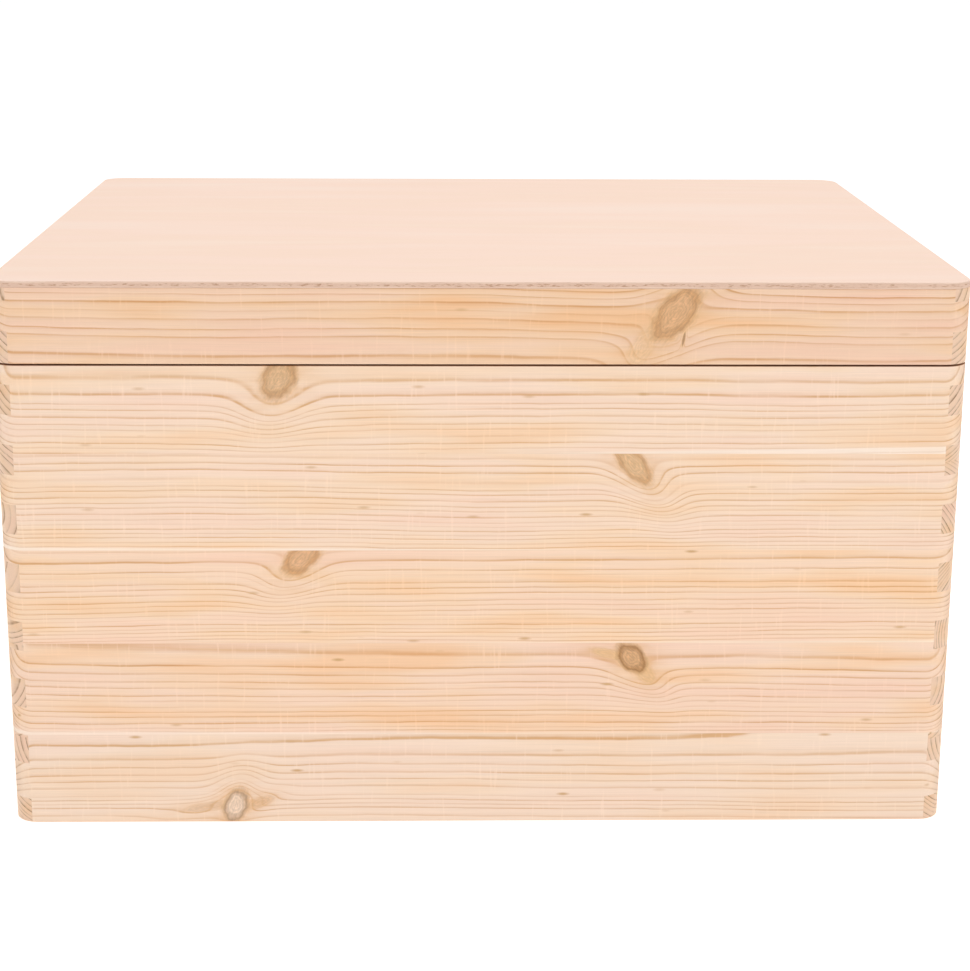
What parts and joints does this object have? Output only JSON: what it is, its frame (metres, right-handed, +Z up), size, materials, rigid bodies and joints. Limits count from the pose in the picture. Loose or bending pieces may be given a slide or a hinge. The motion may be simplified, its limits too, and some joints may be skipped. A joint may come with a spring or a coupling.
{
  "type": "toy box",
  "caption": "Raw pine toy box with finger-jointed, rounded corners and a framed plywood lid that is hinged at the back and held open by a slotted stay.",
  "frame": {"origin": "on the floor, at the centre of the bounding box's base, hinges included", "axes": "+Z up, +X along the width to the right as seen from the front, the front faces -Y and the hinges are at +Y"},
  "size_m": [0.6, 0.5062, 0.352],
  "materials": {
    "pine": "raw sanded pine, no varnish",
    "plywood": "raw sanded light veneer plywood",
    "zinc": "bright zinc-plated steel",
    "nylon": "natural white nylon"
  },
  "bodies": {
    "case": {"front_board_1": "pine", "front_board_2": "pine", "front_board_3": "pine", "front_board_4": "pine", "front_board_5": "pine", "back_board_1": "pine", "back_board_2": "pine", "back_board_3": "pine", "back_board_4": "pine", "back_board_5": "pine", "left_board_1": "pine", "left_board_2": "pine", "left_board_3": "pine", "left_board_4": "pine", "left_board_5": "pine", "right_board_1": "pine", "right_board_2": "pine", "right_board_3": "pine", "right_board_4": "pine", "right_board_5": "pine", "bottom_panel": "plywood", "left_hinge_pin": "zinc", "left_hinge_case_leaf": "zinc", "left_hinge_case_leaf_screw_1": "zinc", "left_hinge_case_leaf_screw_2": "zinc", "left_hinge_case_leaf_screw_3": "zinc", "right_hinge_pin": "zinc", "right_hinge_case_leaf": "zinc", "right_hinge_case_leaf_screw_1": "zinc", "right_hinge_case_leaf_screw_2": "zinc", "right_hinge_case_leaf_screw_3": "zinc", "stay_guide_screw": "zinc", "stay_guide_washer": "nylon"},
    "lid": {"lid_front_rail": "pine", "lid_back_rail": "pine", "lid_left_rail": "pine", "lid_right_rail": "pine", "lid_top_panel": "plywood", "left_hinge_lid_leaf": "zinc", "left_hinge_lid_leaf_screw_1": "zinc", "left_hinge_lid_leaf_screw_2": "zinc", "left_hinge_lid_leaf_screw_3": "zinc", "right_hinge_lid_leaf": "zinc", "right_hinge_lid_leaf_screw_1": "zinc", "right_hinge_lid_leaf_screw_2": "zinc", "right_hinge_lid_leaf_screw_3": "zinc", "stay_pivot_screw": "zinc", "stay_pivot_washer": "nylon"},
    "stay": {"stay_arm": "zinc"}
  },
  "joints": [
    {"name": "lid_hinge", "type": "hinge", "parent": "case", "child": "lid", "pos_m": [0, 0.25015, 0.3006], "axis": [-1, 0, 0], "range_deg": [0, 100]},
    {"name": "stay_pivot", "type": "hinge", "parent": "lid", "child": "stay", "pos_m": [0.286, 0.13183, 0.3206], "axis": [1, 0, 0], "range_deg": [0, 50]}
  ],
  "couplings": [
    {"joint": "stay_pivot", "follows": "lid_hinge", "ratio": 0.5}
  ]
}
